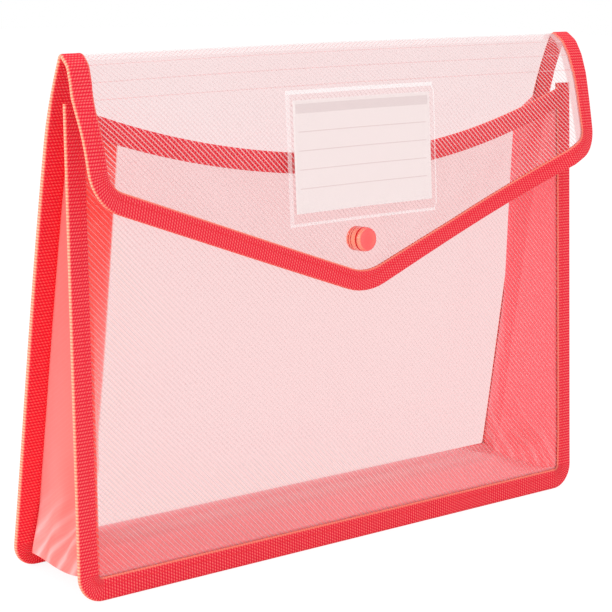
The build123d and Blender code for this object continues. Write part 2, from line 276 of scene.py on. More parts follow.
def sheet_finish(
    name,
    colour,
    tint,
    clear_haze,
    rib_haze,
    slant=1,
    lit_share=0.45,
    creases=(),
    pressed_flat=None,
    painted_light=None,
):
    """Ribbed sheet: each rib is a milky line, and the film between the ribs is clear and tinted.

    The milky part shows the light that falls on it and, by lit_share, the light that comes through it.
    creases are distances along the sheet where a score shows as a pale line. pressed_flat is how far
    along the press stud has flattened the ribs, on the sheet that is also strained pale beside its
    right binding. The last argument gives where the colour is painted paler: painted light.
    """
    finish, tree, across, along = new_finish(name)
    gloss = low_angle_gloss(tree)
    cloud = speckle(tree, 18.0, 3.0)
    clear = Value.node(tree, "ShaderNodeBsdfTransparent", inputs={"Color": tint})
    rib = (across + along * slant).wave(rib_pitch * math.sqrt(2)) ** 6
    haze = rib * rib_haze * (cloud * 0.5 + 0.75) + clear_haze
    shade = cloud.between(colour, (colour[0], colour[1] * 0.94, colour[2] * 0.94, 1))
    if pressed_flat:
        down = along - pressed_flat
        haze = haze * (across * across + down * down).math("GREATER_THAN", flat_round_stud**2)
        strained = (across - strained_from) / strained_fade
        strained = strained.math("MAXIMUM", 0.0).math("MINIMUM", 1.0)
        haze = haze.math("MAXIMUM", strained * 0.7)
        shade = strained.between(shade, (0.93, 0.62, 0.62, 1))
    for crease in creases:
        line = along.math("COMPARE", crease, crease_half_width)
        haze = haze + line * 0.4
        shade = line.between(shade, (0.93, 0.58, 0.58, 1))
    # Painted light: the colour is painted paler by the given mask, and the sheet's gloss is lowered.
    if painted_light:
        paler = (1.0, *[0.5 + part / 2 for part in colour[1:3]], 1)
        shade = painted_light(across, along, cloud).between(shade, paler)
        gloss = gloss * 0.25
    bump = raised(tree, rib, 0.00003)
    body = Value.node(
        tree,
        "ShaderNodeBsdfPrincipled",
        inputs={
            "Base Color": shade,
            "Roughness": cloud * 0.1 + 0.32,
            "Specular IOR Level": 0.0,
            "Normal": bump,
        },
    )
    lit_through = Value.node(tree, "ShaderNodeBsdfTranslucent", inputs={"Color": colour})
    milk = layered(tree, lit_share, body, lit_through)
    film = layered(tree, haze, clear, milk)
    shine = Value.node(
        tree,
        "ShaderNodeBsdfGlossy",
        inputs={"Color": (1, 1, 1, 1), "Roughness": cloud * 0.1 + 0.15, "Normal": bump},
    )
    set_surface(tree, layered(tree, gloss, film, shine))
    return finish


def skin(name, rings, finish, joined=(), capped=True, smooth_finish=None):
    """A mesh through rings of (place, (across, along)) points. The segments in joined stay open.

    With a smooth finish, the second half of each ring is the sheet's smooth side.
    """
    width = len(rings[0])
    points = [place for ring in rings for place, _ in ring]
    laid = [spot for ring in rings for _, spot in ring]
    corners = (0, 1, width + 1, width)
    faces = [
        tuple(row * width + step + corner for corner in corners)
        for row in range(len(rings) - 1)
        for step in range(width - 1)
        if step not in joined
    ]
    if capped:
        faces.append(tuple(range(width - 1))[::-1])
        faces.append(tuple((len(rings) - 1) * width + step for step in range(width - 1)))
    mesh = bpy.data.meshes.new(name)
    mesh.from_pydata(points, [], faces)
    layer = mesh.uv_layers.new(name="place")
    for loop in mesh.loops:
        layer.data[loop.index].uv = laid[loop.vertex_index]
    mesh.materials.append(finish)
    if smooth_finish:
        mesh.materials.append(smooth_finish)
        sides = [step for _ in rings[1:] for step in range(width - 1) if step not in joined]
        for face, step in zip(mesh.polygons, sides):
            face.material_index = 1 if step >= width // 2 else 0
    work = bmesh.new()
    work.from_mesh(mesh)
    bmesh.ops.remove_doubles(work, verts=work.verts, dist=1e-6)
    bmesh.ops.recalc_face_normals(work, faces=work.faces)
    for face in work.faces:
        face.smooth = len(face.verts) == 4
    for edge in work.edges:
        if len(edge.link_faces) == 2 and edge.calc_face_angle() > math.radians(40):
            edge.smooth = False
    work.to_mesh(mesh)
    work.free()
    piece = bpy.data.objects.new(name, mesh)
    bpy.context.scene.collection.objects.link(piece)
    return piece


def spread(start, end, step):
    """Numbers from start to end, evenly, at most a step apart."""
    count = max(1, math.ceil(abs(end - start) / step))
    return [start + (end - start) * number / count for number in range(count + 1)]


def sheet_piece(
    name,
    columns,
    edges,
    place,
    finish,
    smooth_finish,
    row_step=0.004,
    joined_start=False,
    joined_end=False,
):
    """A piece of sheet with both its faces. edges gives its first and last distance at each x."""
    rows = len(spread(0, max(abs(edges(x)[1] - edges(x)[0]) for x in columns), row_step))
    rings = []
    for x in columns:
        first, last = edges(x)
        distances = [first + (last - first) * row / (rows - 1) for row in range(rows)]
        outer = [(place(x, distance, sheet_thickness / 2), (x, distance)) for distance in distances]
        inner = [(place(x, distance, -sheet_thickness / 2), (x, distance)) for distance in distances]
        rings.append([*outer, *reversed(inner), outer[0]])
    ends = ((rows - 1, joined_end), (2 * rows - 1, joined_start))
    joined = [segment for segment, is_open in ends if is_open]
    return skin(name, rings, finish, joined, smooth_finish=smooth_finish)


sheet_columns = spread(-case_half_width + hidden_edge, case_half_width - hidden_edge, 0.006)
smooth_side = smooth_side_finish("sheet_smooth_side", (0.995, 0.93, 0.93, 1))
back_finish = sheet_finish(
    "back_sheet",
    (0.93, 0.70, 0.70, 1),
    (0.925, 0.85, 0.85, 1),
    0.0,
    0.12,
    slant=-1,
)
flap_finish = sheet_finish(
    "flap_sheet",
    (0.95, 0.80, 0.80, 1),
    (1.0, 1.0, 1.0, 1),
    0.0,
    0.82,
    slant=-1,
    creases=score_distances,
    pressed_flat=stud_spot,
)

back_sheet = sheet_piece(
    "back_sheet",
    sheet_columns,
    lambda x: (hidden_edge, back_length - fold_reach),
    back_place,
    back_finish,
    smooth_side,
    row_step=0.01,
    joined_end=True,
)
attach(back_sheet, "case_back")
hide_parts("back_panel")

flap_sheet = sheet_piece(
    "flap_sheet",
    sheet_columns,
    lambda x: (flap_start + fold_reach, flap_start + flap_edge(x, hidden_edge)),
    back_place,
    flap_finish,
    smooth_side,
    joined_start=True,
)
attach(flap_sheet, "flap")
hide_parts("flap_panel")

# The spine's folds. Each is the stretch of the sheet round one score, from the middle of one strip to
# the middle of the next.
fold_ends = [
    back_length - fold_reach,
    *[score + strip_length / 2 for score in score_distances[:-1]],
    flap_start + fold_reach,
]
fold_bend = 0.0024


def bend_fold(piece, number):
    """Bakes the piece's place into its mesh; nothing here makes it bend at the score.
    """
    score = score_distances[number]
    sheet_line(score - fold_bend)[0]
    sheet_line(score + fold_bend)[0]
    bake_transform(piece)


for number in range(4):
    fold = sheet_piece(
        f"fold_{number + 1}",
        sheet_columns,
        lambda x: (fold_ends[number], fold_ends[number + 1]),
        back_place,
        flap_finish,
        smooth_side,
        row_step=0.0005,
        joined_start=True,
        joined_end=True,
    )
    bend_fold(fold, number)
    if number < 3:
        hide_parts(f"spine_sheet_{number + 1}")

# The front sheet. The same ribbed sheet, with a scooped mouth. Its seams are flat, and between them it
# bows out towards the mouth, where the papers and the press stud push it.
base_depth = -Vector(frame["record"]["mounts"][1]["pos_m"]).y
seam_half_width = case_half_width - tape_width
front_length = 0.2296
mouth_bottom = front_length - 0.0297
mouth_rise = 0.026
front_bow = 0.008
bow_full_height = 0.110
front_lean = 0.01144
mouth_end_margin = 0.001
front_slope = (base_depth + scores[-1].y + front_lean) / scores[-1].z
front_up = Vector((0, front_slope, 1)).normalized()
front_outward = Vector((0, -front_up.z, front_up.y))
mouth_radius = (seam_half_width**2 + mouth_rise**2) / (2 * mouth_rise)
mouth_centre = mouth_bottom + mouth_radius


def front_place(x, up, height=0.0):
    """A place on the front sheet, at a height off its outer side."""
    rise = min(max((up - tape_width) / (bow_full_height - tape_width), 0), 1)
    crest = math.cos(math.pi / 2 * min(abs(x) / seam_half_width, 1)) ** 2
    bow = front_bow * math.sin(math.pi / 2 * rise) * crest
    return Vector((x, -base_depth, 0)) + front_up * up + front_outward * (bow + height)


def mouth_edge(x, inset):
    """How high up the front sheet its scooped edge is at x, brought in by inset."""
    edge = mouth_centre - math.sqrt((mouth_radius + inset) ** 2 - x**2)
    return min(edge, front_length - mouth_end_margin)


front_finish = sheet_finish("front_sheet", (0.91, 0.70, 0.70, 1), (1.0, 0.895, 0.895, 1), 0.0, 0.42)
front_sheet = sheet_piece(
    "front_sheet",
    sheet_columns,
    lambda x: (hidden_edge, mouth_edge(x, hidden_edge)),
    front_place,
    front_finish,
    smooth_side,
    row_step=0.006,
)
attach(front_sheet, "front")
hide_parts("front_panel")

# The gusset. One strip of coral sheet, sewn to both walls down the sides and along the bottom, and
# creased along its middle. The sides fold inwards, and the bottom stands up a little at its crease.
# The right side and the bottom are painted a deeper, pinker red than the left side: painted shade. The
# strip itself is one colour.
gusset_width = 0.0573
gusset_thickness = 0.0005
gusset_bottom = tape_width + 0.0004
gusset_top = (front_up * (front_length - 0.0075)).z
back_slope = -scores[0].y / scores[0].z
crease_softness = 0.22
gusset_hem = 0.007
gusset_top_dip = 0.013
corner_sag = 0.0026
back_corner_sag = 0.0045
back_sag_fade = 0.15
settle_reach = 0.035
hem_standoff = 0.0006
buckle_top = 0.09
buckle_fade = 0.03
buckles = ((0.0055, 9, 110), (0.0028, 4, -240))
floor_mark = 1.0
hem_share = gusset_hem / (gusset_width / 2)
gusset_girth = [-1 - hem_share, *spread(-1.0, 1.0, 0.05), 1 + hem_share]


def pleat(z, t):
    """Where the gusset is at a height, t from -1 at the back seam to 1 at the front seam: y, depth.

    Past its seams, the gusset's hems lie flat against the walls, inside the bindings.
    """
    back_y = -z * back_slope - hem_standoff + bow_out(max(z, 0) / scores[0].z)
    front_y = -base_depth + z * front_slope + hem_standoff
    half_gap = (back_y - front_y) / 2
    depth = math.sqrt(max((gusset_width / 2) ** 2 - half_gap**2, 0))
    in_hem = max(abs(t) - 1, 0) * gusset_width / 2
    t = min(max(t, -1), 1)
    fold = math.sqrt(t**2 + crease_softness**2)
    share = math.sqrt(1 + crease_softness**2) - fold
    return (back_y + front_y) / 2 - t * half_gap, depth * share - in_hem


def crumple(t, climb):
    """Soft buckles in the gusset above its bottom corners, fading out at the seams and the corner.

    Each is given by its height and by how quickly it turns across the strip and up it.
    """
    rise = math.sin(math.pi * min(climb / buckle_top, 1))
    fade = max(1 - t**2, 0) * rise * math.exp(-climb / buckle_fade)
    return sum(height * fade * math.sin(t * across + climb * up) for height, across, up in buckles)


def corner_rise(t):
    """How far the strip stands in from its seams at a bottom corner, where it sags outwards a little."""
    if abs(t) > 1:
        return pleat(gusset_bottom, t)[1]
    back_sag = back_corner_sag * (1 - t) / 2 * min((1 + t) / back_sag_fade, 1)
    return -corner_sag * (1 - t**2) * (1 + t) - back_sag


def settle(from_corner):
    """From 0 at a bottom corner to 1 where the strip has its full depth."""
    share = min(max(from_corner / settle_reach, 0), 1)
    return share * share * (3 - 2 * share)


def gusset_side(side):
    """The middle of one side's strip: each row runs up the side at one place across the strip."""
    rows = []
    for t in gusset_girth:
        corner = gusset_bottom + corner_rise(t)
        top = gusset_top - gusset_top_dip * max(1 - abs(t), 0)
        row = []
        for climb in [share**1.6 for share in spread(0, 1, 0.02)]:
            z = corner + (top - corner) * climb
            y, depth = pleat(z, t)
            inward = corner_rise(t) + (depth - corner_rise(t)) * settle(z - corner)
            inward += crumple(t, z - corner)
            spot = (t * gusset_width / 2, side * z)
            row.append((Vector((side * (seam_half_width - inward), y, z)), spot))
        rows.append(row)
    return rows


def gusset_floor():
    """The middle of the bottom's strip, mitred to the sides at its ends."""
    rows = []
    for t in gusset_girth:
        y, depth = pleat(gusset_bottom, t)
        reach = seam_half_width - corner_rise(t)
        row = []
        for x in [reach * share for share in spread(-1, 1, 0.02)]:
            rise = corner_rise(t) + (depth - corner_rise(t)) * settle(reach - abs(x))
            spot = (t * gusset_width / 2, floor_mark + x)
            row.append((Vector((x, y, gusset_bottom + rise)), spot))
        rows.append(row)
    return rows


def gusset_piece(name, rows, finish, smooth_finish):
    """A piece of the strip, with its thickness to both sides of its middle."""
    rings = []
    for number, row in enumerate(rows):
        before, after = rows[max(number - 1, 0)], rows[min(number + 1, len(rows) - 1)]
        outer, inner = [], []
        for step, (place, spot) in enumerate(row):
            across = after[step][0] - before[step][0]
            up = row[min(step + 1, len(row) - 1)][0] - row[max(step - 1, 0)][0]
            proud = across.cross(up).normalized() * (gusset_thickness / 2)
            outer.append((place + proud, spot))
            inner.append((place - proud, spot))
        rings.append([*outer, *reversed(inner), outer[0]])
    return skin(name, rings, finish, smooth_finish=smooth_finish)



def gusset_painted_light(across, along, cloud):
    """Painted light on the gusset, as paler colour: over the bottom, most at its crease, and towards
    its back seam; in streaks low down the sides and along the one slanting fold above each bottom
    corner, as painted highlights."""
    bottom = along.math("GREATER_THAN", floor_mark / 2)
    by_seam = ((across * -1 - 0.010) / 0.012).math("MAXIMUM", 0.0)
    low = (1 - (along.math("ABSOLUTE") - 0.006) / 0.035).math("MAXIMUM", 0.0)
    streak = (across * 1.6 + along + cloud * 0.012).wave(0.017) ** 3
    crest = (1 - across.math("ABSOLUTE") / 0.013).math("MAXIMUM", 0.0)
    climb = along.math("ABSOLUTE")
    front_half = across.math("GREATER_THAN", 0.003)
    corner_fold = (across / 0.6 + climb).math("COMPARE", 0.0597, 0.0007) * front_half
    pale = bottom * (crest * 0.38 + 0.58) + by_seam * 0.25 + low * (streak * 0.7 + 0.12)
    return (pale + corner_fold * 0.4).math("MINIMUM", 0.9)


# The gusset's paler places are painted light.
gusset_look = {"clear_haze": 0.85, "rib_haze": 0.06, "lit_share": 0.2, "painted_light": gusset_painted_light}
gusset_finish = sheet_finish(
    "gusset_sheet", (1.0, 0.225, 0.2, 1), (1.0, 0.42, 0.40, 1), **gusset_look
)
# Painted shade: a deeper, pinker copy of the gusset's colour, for the right side and the bottom.
gusset_shaded_finish = sheet_finish(
    "gusset_sheet_shaded", (1.0, 0.185, 0.225, 1), (1.0, 0.40, 0.42, 1), **gusset_look
)
gusset_smooth_side = smooth_side_finish("gusset_smooth_side", (1.0, 0.8, 0.78, 1))
for name, side, finish in (("gusset_left", -1, gusset_finish), ("gusset_right", 1, gusset_shaded_finish)):
    piece = gusset_piece(name, gusset_side(side), finish, gusset_smooth_side)
    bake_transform(piece)
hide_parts("gusset_front_half")
gusset_bottom_piece = gusset_piece(
    "gusset_bottom", gusset_floor(), gusset_shaded_finish, gusset_smooth_side
)
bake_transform(gusset_bottom_piece)
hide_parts("gusset_back_half")

# The bindings. Red ribbed tape is folded in half over the edges of the sheets and the gusset's hems
# and sewn through. It shows 12 mm wide on the back, and narrower on the front, the mouth and the flap.
# The weave shows as ribs across the tape, which end in beads at the fold.
tape_thickness = 0.0008
seam_height = sheet_thickness / 2 + gusset_thickness + tape_thickness
plain_height = sheet_thickness / 2 + tape_thickness
bottom_corner_radius = 0.013
fold_rounding = 0.0013
selvedge_share = 0.55
stitch_share = 0.66
stitch_pull = 0.00005
stitch_pull_reach = 0.0009
front_tape_end_width = 0.0112
front_tape_narrowing = 0.0011
flap_tape_full_width = 0.0104
flap_tape_narrowing = 0.0014
mouth_tape_width = 0.0102
mouth_tape_overlap = 0.0025
fold_bead_reach = 0.0011
selvedge_width = 0.0011
weave_pitch = 0.00152
grain_width = 0.0017
tape_across = (0.0106, 0.0098, 0.0085, 0.0070, 0.0045, 0.0025, 0.0013, 0.0007, 0.0003, 0.00008)


def bound_edge(corners, radii, side, step=0.005):
    """Stations along an edge with rounded corners: place, way in, and distance along it."""
    corners = [Vector(corner) for corner in corners]
    ways = [(end - start).normalized() for start, end in zip(corners, corners[1:])]
    bends = [first.angle_signed(second) for first, second in zip(ways, ways[1:])]
    trims = [0, *[radius * math.tan(abs(bend) / 2) for radius, bend in zip(radii, bends)], 0]
    stations = []
    for leg, way in enumerate(ways):
        inward = Vector((-way.y, way.x)) * side
        start = corners[leg] + way * trims[leg]
        end = corners[leg + 1] - way * trims[leg + 1]
        for share in spread(0, 1, step / (end - start).length)[0 if leg == 0 else 1:]:
            stations.append((start.lerp(end, share), inward))
        if leg < len(bends):
            radius, bend = radii[leg], abs(bends[leg])
            centre = end + inward * radius
            for angle in spread(0, bend, math.radians(7))[1:]:
                turned = inward * math.cos(angle) - way * math.sin(angle)
                stations.append((centre - turned * radius, turned))
    measured, distance = [], 0.0
    for number, (place, inward) in enumerate(stations):
        distance += (place - stations[number - 1][0]).length if number else 0
        measured.append((place, inward, distance))
    return measured


def tape_ring(station, place, outer, inner, width):
    """The tape's folded section at a station: its outside round the fold, then its inside."""
    spot, inward, distance = station
    steps = [across * width / tape_width for across in tape_across]
    outline = (width, *steps, 0, *reversed(steps), width)
    ring = []
    turn = len(tape_across) + 1
    for number, across in enumerate(outline):
        full = outer if number <= turn else -inner
        rounding = selvedge_share
        if across < width:
            rounding = math.sqrt(1 - max(0, 1 - across / fold_rounding) ** 2)
        from_stitch = (across - stitch_share * width) / stitch_pull_reach
        pull = stitch_pull * math.exp(-(from_stitch**2))
        height = (full - math.copysign(pull, full)) * rounding
        girth = (across if number <= turn else -across) * tape_width / width
        at = spot + inward * across
        ring.append((place(at.x, at.y, height), (girth, distance)))
    for across, height in (
        (width, -inner + tape_thickness),
        (tape_thickness, -inner + tape_thickness),
        (tape_thickness, outer - tape_thickness),
        (width, outer - tape_thickness),
    ):
        at = spot + inward * across
        ring.append((place(at.x, at.y, height), (across * tape_width / width, distance)))
    ring.append(ring[0])
    return ring


def full_width(station):
    """The back's binding shows its full width everywhere."""
    return tape_width


def front_tape_width(station):
    """The front's binding is cut narrower down its sides than along its bottom."""
    return front_tape_end_width - front_tape_narrowing * min(station[0].y / 0.03, 1)


def flap_tape_width(station):
    """The flap's binding is cut narrower, and was pulled narrowest along the right of the tip."""
    x = station[0].x
    share = min(max(x / 0.06, 0), (case_half_width - x) / 0.02, 1)
    return flap_tape_full_width - flap_tape_narrowing * share


def tape_piece(name, stations, place, inner=plain_height, capped=True, width=full_width):
    """A length of binding. The inner height and the width may change along it."""
    heights = inner if callable(inner) else lambda station: inner
    rings = [
        tape_ring(station, place, plain_height, heights(station), width(station)) for station in stations
    ]
    return skin(name, rings, binding_finish, capped=capped)


def tape_finish():
    """Grosgrain: round ribs across the tape, cut into staggered grains, and beads at the fold.

    The beads and the inner edge are painted peach where they face left or up: a painted highlight of light from
    the left.
    """
    finish, tree, across, along = new_finish("binding_tape")
    wear = speckle(tree, 220.0, 2.0)
    rib = along.wave(weave_pitch)
    grain = rib * ((across / grain_width + along / (2 * weave_pitch)).wave(1.0) * 0.8 + 0.2)
    girth = across.math("ABSOLUTE")
    height = grain * (wear * 0.4 + 0.8)
    fold = (1 - girth / fold_bead_reach).math("MAXIMUM", 0.0)
    selvedge = (girth - (tape_width - selvedge_width)) / 0.0005
    selvedge = selvedge.math("MAXIMUM", 0.0).math("MINIMUM", 1.0)
    faces = Value.node(tree, "ShaderNodeNewGeometry", output="Normal")
    rightward = Value.node(tree, "ShaderNodeSeparateXYZ", inputs={0: faces})
    leftward = rightward * -1
    upward = Value(tree, rightward.socket.node.outputs[2])
    # Painted highlight: the beads at the fold are painted peach where they face left.
    painted_highlight = (fold * 1.6).math("MINIMUM", 1.0) * (leftward * 1.3).math("MAXIMUM", 0.0)
    painted_highlight = painted_highlight.math("MINIMUM", 1.0) * (rib * 0.6 + 0.4)
    # The inner edge is painted peach too where it faces up or left: a painted highlight.
    edge = (upward * 1.3 + leftward * 1.0).math("MAXIMUM", 0.0).math("MINIMUM", 0.4)
    painted_highlight = painted_highlight.math("MAXIMUM", selvedge * edge)
    # Painted shade: the weave is painted darker in the hollows between its grains, lighter on their tops.
    colour = height.between((0.75, 0.0, 0.027, 1), (1.0, 0.175, 0.165, 1))
    # The painted highlight: peach laid over the tape's red.
    colour = painted_highlight.between(colour, (1.0, 0.42, 0.26, 1))
    bump = raised(tree, height, 0.00025, 0.9)
    body = Value.node(
        tree,
        "ShaderNodeBsdfPrincipled",
        inputs={
            "Base Color": colour,
            "Roughness": wear * 0.2 + 0.6,
            "Specular IOR Level": 0.15,
            "Normal": bump,
        },
    )
    set_surface(tree, body)
    return finish


binding_finish = tape_finish()
binding_lengths = []


def binding(name, stations, place, body, node, inner=plain_height, width=full_width):
    """A binding that moves with one body."""
    piece = tape_piece(name, stations, place, inner, width=width)
    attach(piece, body)
    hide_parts(node)
    binding_lengths.append((name, stations, place, body, width))


def back_seam_height(station):
    """Above the gusset there is no hem in the binding, so it gets thinner."""
    share = min(max((station[0].y - front_length) / 0.006, 0), 1)
    return seam_height + (plain_height - seam_height) * share


wall_end = back_length - fold_reach
back_edge = bound_edge(
    [
        (-case_half_width, wall_end),
        (-case_half_width, 0),
        (case_half_width, 0),
        (case_half_width, wall_end),
    ],
    [bottom_corner_radius] * 2,
    side=1,
)
binding("back_binding", back_edge, back_place, "case_back", "back_tape", inner=back_seam_height)

front_edge = bound_edge(
    [
        (-case_half_width, front_length),
        (-case_half_width, 0),
        (case_half_width, 0),
        (case_half_width, front_length),
    ],
    [bottom_corner_radius] * 2,
    side=1,
)
binding("front_binding", front_edge, front_place, "front", "front_tape", seam_height, front_tape_width)

flap_end = flap_start + fold_reach
flap_bound_edge = bound_edge(
    [
        (-case_half_width, flap_end),
        (-case_half_width, flap_start + flap_side_length),
        (0, flap_start + flap_tip_length),
        (case_half_width, flap_start + flap_right_side_length),
        (case_half_width, flap_end),
    ],
    [flap_left_radius, flap_tip_radius, flap_right_radius],
    side=-1,
)
binding("flap_binding", flap_bound_edge, back_place, "flap", "flap_tape", width=flap_tape_width)

mouth_reach = math.asin((seam_half_width + mouth_tape_overlap) / mouth_radius)
mouth_stations = []
for angle in spread(-mouth_reach, mouth_reach, 0.012):
    inward = Vector((math.sin(angle), -math.cos(angle)))
    spot = Vector((0, mouth_centre)) + inward * mouth_radius
    mouth_stations.append((spot, inward, mouth_radius * (angle + mouth_reach)))
binding(
    "mouth_binding",
    mouth_stations,
    front_place,
    "front",
    "mouth_tape",
    width=lambda station: mouth_tape_width,
)


def spine_tape_width(station):
    """Over the spine the binding narrows from the back's width to the flap's."""
    passed, run = station[2] - fold_ends[0], flap_end - fold_ends[0]
    return tape_width + (flap_tape_full_width - tape_width) * passed / run


for number in range(4):
    first, last = fold_ends[number], fold_ends[number + 1]
    sides = []
    for side in (-1, 1):
        ends = [(side * case_half_width, first), (side * case_half_width, last)]
        stations = bound_edge(ends, [], side=side, step=0.0005)
        stations = [(place, Vector((-side, 0)), distance + first) for place, _, distance in stations]
        name = f"fold_binding_{number + 1}_{'left' if side < 0 else 'right'}"
        sides.append(tape_piece(name, stations, back_place, capped=False, width=spine_tape_width))
    for piece in sides:
        bend_fold(piece, number)
    if number < 3:
        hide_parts(f"spine_tape_{number + 1}")

# The sewing thread. One lockstitch of red thread runs along each binding, near its inner edge, and
# sinks into the tape at every needle hole.
stitch_length = 0.0032
stitch_arch = 0.0004
thread_radius = 0.00024
thread_sunk = 0.00012
thread_tail = 0.001


def thread_finish():
    """Spun thread, with two shades of red winding round it: painted shade, darker in the grooves of its twist."""
    finish, tree, across, along = new_finish("sewing_thread")
    twist = (along + across * 2.0).wave(0.0006)
    # Painted shade: darker where the twist sinks, lighter on its crests.
    colour = twist.between((0.74, 0.0, 0.025, 1), (0.94, 0.07, 0.075, 1))
    bump = raised(tree, twist, 0.00008, 0.6)
    body = Value.node(
        tree,
        "ShaderNodeBsdfPrincipled",
        inputs={"Base Color": colour, "Roughness": 0.6, "Specular IOR Level": 0.15, "Normal": bump},
    )
    set_surface(tree, body)
    return finish


sewn_finish = thread_finish()


def thread_piece(name, stations, place, face, width):
    """A thread on a binding's outer face, which is at the height given by face."""
    length = stations[-1][2]
    rings, number = [], 0
    for distance in spread(thread_tail, length - thread_tail, stitch_length / 8):
        while stations[number + 1][2] < distance and number < len(stations) - 2:
            number += 1
        (here, inward, start), (there, next_inward, end) = stations[number], stations[number + 1]
        share = (distance - start) / (end - start)
        inset = stitch_share * width(stations[number])
        across_way = inward.lerp(next_inward, share)
        spot = here.lerp(there, share) + across_way * inset
        loop = abs(math.sin(math.pi * distance / stitch_length)) ** 0.5
        lift = face + (loop - 0.75) * stitch_arch
        ring = []
        for angle in spread(0, 2 * math.pi, math.pi / 3):
            at = spot + across_way * (thread_radius * math.cos(angle))
            height = lift + thread_radius * math.sin(angle)
            ring.append((place(at.x, at.y, height), (angle * thread_radius, distance)))
        rings.append(ring)
    return skin(name, rings, sewn_finish)


for name, stations, place, body, width in binding_lengths:
    thread_name = name.replace("binding", "thread")
    thread = thread_piece(thread_name, stations, place, plain_height - thread_sunk, width)
    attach(thread, body)

# The press stud. Four round mouldings in coral plastic: cap and socket are pinned together through
# the flap, stud and rivet through the front sheet. The cap is turned here, with a groove round its
# side. The socket, stud and rivet keep their CAD shapes.


def stud_finish():
    """Glossy moulded plastic, with a painted highlight: the sides that face left are painted peach."""
    finish, tree, *_ = new_finish("stud_plastic")
    grain = Value.node(tree, "ShaderNodeTexNoise", inputs={"Scale": 900.0, "Detail": 2.0})
    shade = Value.node(tree, "ShaderNodeTexNoise", inputs={"Scale": 60.0})
    faces = Value.node(tree, "ShaderNodeNewGeometry", output="Normal")
    to_left = Value.node(tree, "ShaderNodeSeparateXYZ", inputs={0: faces}).math("MULTIPLY", -1.0)
    colour = shade.between((0.90, 0.035, 0.04, 1), (0.93, 0.07, 0.07, 1))
    # Painted highlight: peach painted where the surface faces left.
    colour = to_left.math("MAXIMUM", 0.0).between(colour, (1.0, 0.34, 0.20, 1))
    bump = raised(tree, grain, 0.00003, 0.2)
    body = Value.node(
        tree,
        "ShaderNodeBsdfPrincipled",
        inputs={
            "Base Color": colour,
            "Roughness": grain * 0.1 + 0.28,
            "Coat Weight": 1.0,
            "Coat Roughness": 0.05,
            "Normal": bump,
        },
    )
    set_surface(tree, body)
    return finish


moulded_finish = stud_finish()
for node in ("snap_socket", "snap_stud", "snap_rivet"):
    cad_piece = frame["nodes"][node]
    cad_piece.data.materials.clear()
    cad_piece.data.materials.append(moulded_finish)

# The cap's outline, as radius and height off the flap, from its pin outwards and over its top.
cap_profile = (
    (0.0015, -0.0019),
    (0.0022, -0.0019),
    (0.0022, 0.00035),
    (0.0055, 0.00035),
    (0.0059, 0.0005),
    (0.0061, 0.0008),
    (0.0061, 0.0010),
    (0.0058, 0.0012),
    (0.0061, 0.0014),
    (0.0061, 0.0015),
    (0.0059, 0.0020),
    (0.0057, 0.0025),
    (0.0053, 0.0028),
    (0.0048, 0.0029),
    (0.0043, 0.0027),
    (0.0020, 0.0026),
    (0.0010, 0.0026),
)
cap_rings = []
for radius, height in cap_profile:
    ring = []
    for angle in spread(0, 2 * math.pi, math.pi / 24):
        spot = stud_spot + radius * math.sin(angle)
        ring.append((back_place(radius * math.cos(angle), spot, height), (radius * angle, height)))
    cap_rings.append(ring)
cap = skin("snap_cap", cap_rings, moulded_finish)
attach(cap, "flap")
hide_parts("snap_cap")

# The label pocket. A clear soft film is welded to the flap along its top, left and bottom edges, with
# a criss-cross weld at the left. It stays open at the right, where the card slides in.
pocket_half_width = 0.0482
pocket_top = 0.002
pocket_height = 0.066
pocket_rise = 0.0019
film_thickness = 0.00025
weld_widths = (0.002, 0.0025, 0.0015)
film_rise_run = 0.003
film_fine_step = 0.0006
film_step = 0.003


def film_finish():
    """Clear film, milky at its welds: hatched at the left, plain at the top, dashed at the bottom."""
    finish, tree, across, along = new_finish("pocket_film")
    left = across + pocket_half_width
    top = along - (flap_start + pocket_top)
    bottom = pocket_height - top
    left_weld = 1 - left.math("GREATER_THAN", weld_widths[1])
    top_weld = 1 - top.math("GREATER_THAN", weld_widths[0])
    bottom_weld = 1 - bottom.math("GREATER_THAN", weld_widths[2])
    hatch = ((across + along).wave(0.0011)).math("MAXIMUM", (across - along).wave(0.0011)) ** 4
    dashes = (along.wave(0.0024) + across.wave(0.0024)) * 0.5
    shade = (left_weld * (hatch * 0.3 + 0.1)).math("MAXIMUM", top_weld * 0.5)
    shade = shade.math("MAXIMUM", bottom_weld * (dashes * 0.35 + 0.1))
    edge = 1 - (pocket_half_width - across).math("GREATER_THAN", 0.0005)
    shade = shade.math("MAXIMUM", edge * 0.4)
    bump = raised(tree, shade, 0.00006, 0.5)
    body = Value.node(
        tree,
        "ShaderNodeBsdfPrincipled",
        inputs={"Base Color": (0.97, 0.95, 0.95, 1), "Roughness": 0.12, "Normal": bump},
    )
    through = Value.node(tree, "ShaderNodeBsdfTransparent", inputs={"Color": (0.995, 0.985, 0.985, 1)})
    haze = shade * 0.8 + 0.03
    set_surface(tree, layered(tree, haze, through, body))
    return finish


def pocket_place(x, distance, height):
    """On the film: it is down on the flap at its three welds and stands off it over the card."""
    down = distance - flap_start - pocket_top
    from_weld = min(
        x + pocket_half_width - weld_widths[1],
        down - weld_widths[0],
        pocket_height - down - weld_widths[2],
    )
    swell = min(max(from_weld / film_rise_run, 0), 1)
    swell = swell * swell * (3 - 2 * swell)
    ripple = 0.00012 * math.sin(x * 160 + 1.3) * math.sin(distance * 230) * swell
    base = sheet_thickness / 2 + film_thickness / 2 + 0.00005
    return back_place(x, distance, base + (pocket_rise - base) * swell + ripple + height)


